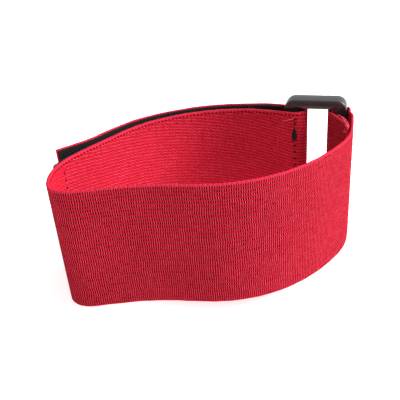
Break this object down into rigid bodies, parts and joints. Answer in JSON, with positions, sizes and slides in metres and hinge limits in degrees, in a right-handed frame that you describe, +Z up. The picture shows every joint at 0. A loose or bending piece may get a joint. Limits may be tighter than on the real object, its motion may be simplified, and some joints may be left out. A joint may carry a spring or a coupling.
{
  "type": "adjustable elastic wrist strap",
  "caption": "Wide woven elastic wrist strap folded through a moulded slot ring, with a hook-and-loop tail that lies back on itself and peels open.",
  "frame": {"origin": "centre of the bounding box in plan, on the surface the strap stands on", "axes": "+X along the long side of the loop towards the ring, +Z up across the strap's width, the front panel faces -Y"},
  "size_m": [0.0984, 0.0598, 0.0505],
  "materials": {
    "red_elastic": "woven elastic, matt",
    "black_loop": "brushed loop pile",
    "black_hook": "moulded hooks on woven tape",
    "ring_plastic": "moulded, satin",
    "dark_thread": "sewing thread",
    "red_thread": "sewing thread"
  },
  "bodies": {
    "band": {"elastic_band": "red_elastic", "loop_tape": "black_loop", "loop_tape_seam": "dark_thread", "fold_seam": "dark_thread", "backtack": "dark_thread", "loose_thread": "red_thread", "frayed_end": "red_thread"},
    "ring": {"ring_buckle": "ring_plastic"},
    "tail_a": {"tail_root": "red_elastic", "hook_root": "black_hook", "hook_seam_root": "dark_thread"},
    "tail_b": {"tail_middle": "red_elastic", "hook_middle": "black_hook", "hook_seam_middle": "dark_thread"},
    "tail_c": {"tail_tip": "red_elastic", "hook_tip": "black_hook", "hook_seam_tip": "dark_thread"}
  },
  "joints": [
    {"name": "ring_swing", "type": "hinge", "parent": "band", "child": "ring", "pos_m": [0.04406, 0.01707, 0.02671], "axis": [-0.0732, 0, 0.9973], "range_deg": [-2.5, 1.4]},
    {"name": "tail_root_peel", "type": "hinge", "parent": "band", "child": "tail_a", "pos_m": [0.02832, 0.02546, 0.02556], "axis": [0.0732, 0, -0.9973], "range_deg": [0, 100]},
    {"name": "tail_middle_peel", "type": "hinge", "parent": "tail_a", "child": "tail_b", "pos_m": [-0.0001, 0.02959, 0.02347], "axis": [0.0732, 0, -0.9973], "range_deg": [0, 60]},
    {"name": "tail_tip_peel", "type": "hinge", "parent": "tail_b", "child": "tail_c", "pos_m": [-0.02675, 0.01926, 0.02151], "axis": [0.0732, 0, -0.9973], "range_deg": [0, 60]}
  ]
}
